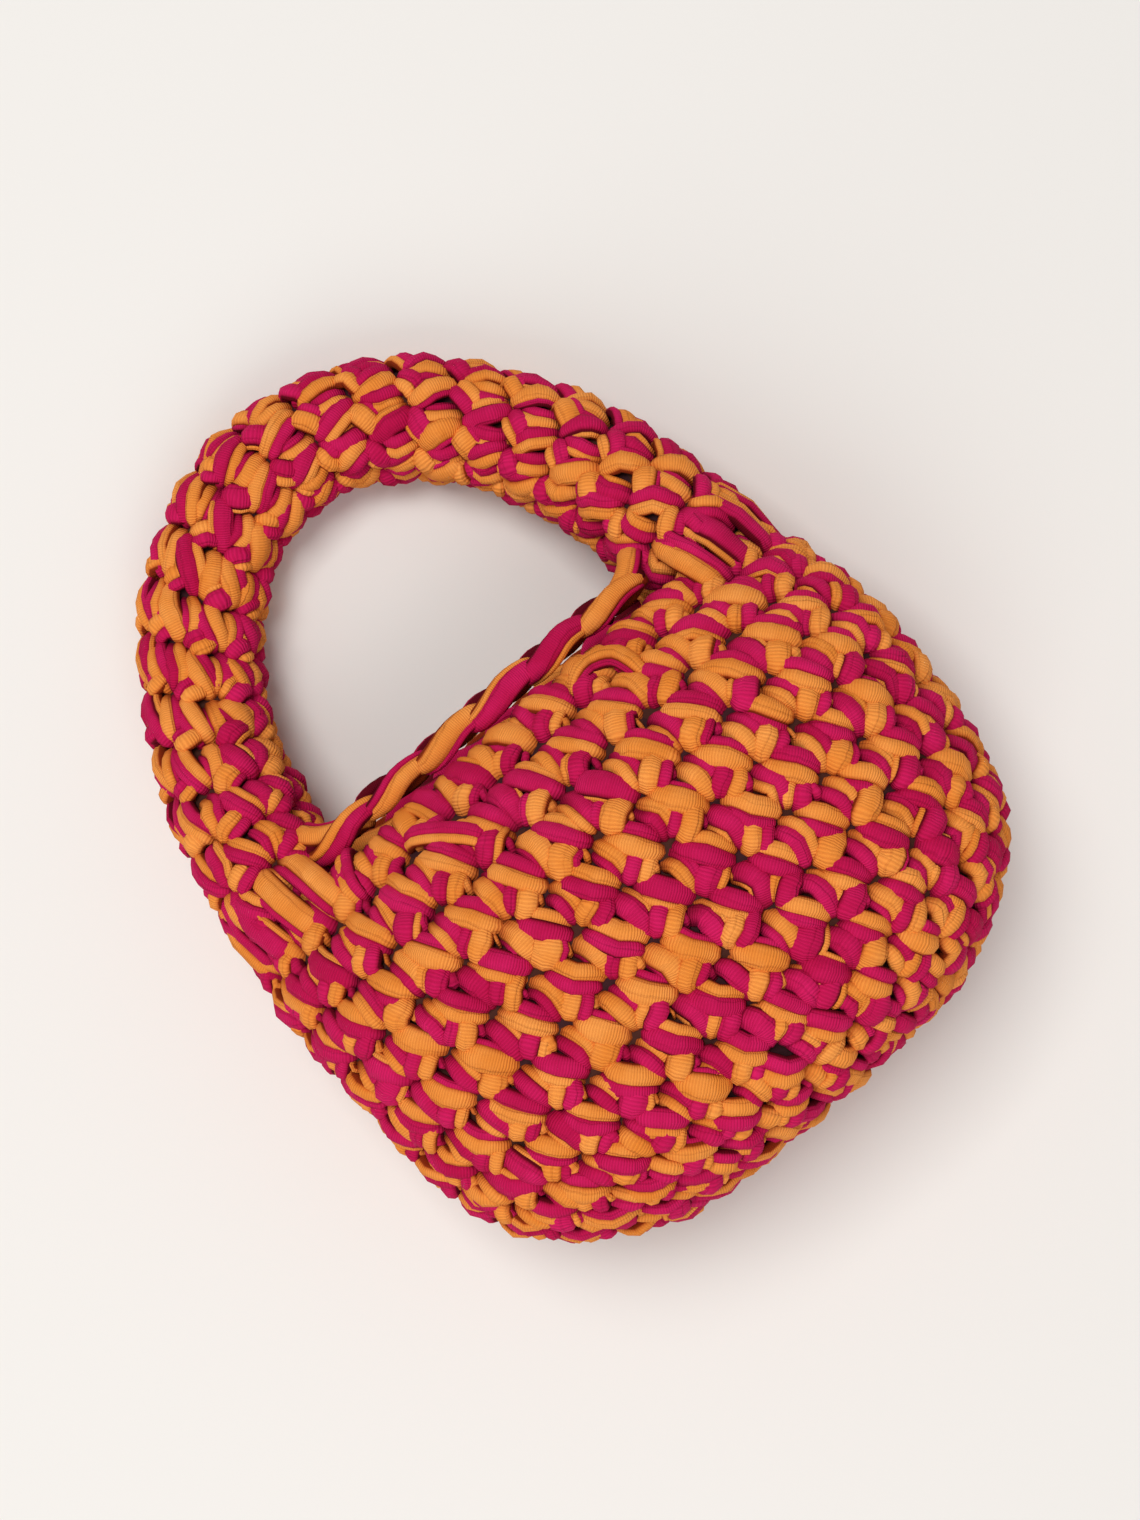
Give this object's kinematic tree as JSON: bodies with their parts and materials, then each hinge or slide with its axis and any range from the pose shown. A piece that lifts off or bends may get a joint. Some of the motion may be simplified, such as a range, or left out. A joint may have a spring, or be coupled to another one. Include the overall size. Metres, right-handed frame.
{
  "type": "crochet handbag",
  "caption": "Crocheted pouch handbag lying on its back, with an open mouth and one thick looped handle.",
  "frame": {"origin": "middle of the bag's outline on the surface that its back lies on", "axes": "+Y from the base of the pouch to the top of the handle, +X across the bag, +Z from its back to its front"},
  "size_m": [0.2496, 0.3201, 0.1257],
  "materials": {
    "body": "matte crocheted jersey yarn, an orange and a magenta strand worked together",
    "handle": "matte crocheted jersey yarn, an orange and a magenta strand worked together",
    "edging": "matte jersey yarn, mostly magenta"
  },
  "bodies": {
    "root": {"body": "body", "handle": "handle", "mouth_edge_front": "edging", "mouth_edge_back": "edging"}
  },
  "joints": []
}
